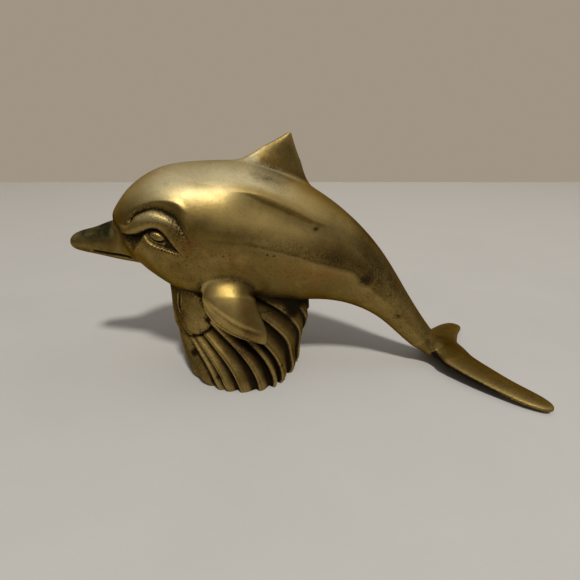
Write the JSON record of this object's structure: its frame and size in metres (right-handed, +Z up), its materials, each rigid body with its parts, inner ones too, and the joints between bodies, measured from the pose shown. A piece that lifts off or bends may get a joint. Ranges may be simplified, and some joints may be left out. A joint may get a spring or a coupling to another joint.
{
  "type": "dolphin figurine",
  "caption": "Cast brass dolphin leaping over a ribbed wave base, with dorsal and pectoral fins and a tail fluke sweeping down to the table, fastened by a screw through the base.",
  "frame": {"origin": "on the table, under the middle of the model's bounding box", "axes": "+X from the head to the tail, +Y towards the dolphin's right side, +Z up"},
  "size_m": [0.1916, 0.0856, 0.1003],
  "materials": {
    "aged_brass": "satin, aged",
    "dark_brass": "satin, darkened in the recesses",
    "yellow_brass": "turned",
    "zinc_steel": "zinc plated"
  },
  "bodies": {
    "root": {"body_left_shell": "aged_brass", "body_right_shell": "aged_brass", "pectoral_fin_left": "aged_brass", "pectoral_fin_right": "aged_brass", "tail_fluke": "aged_brass", "wave_base": "dark_brass", "threaded_boss": "yellow_brass", "base_screw": "zinc_steel", "screw_washer": "zinc_steel"}
  },
  "joints": []
}
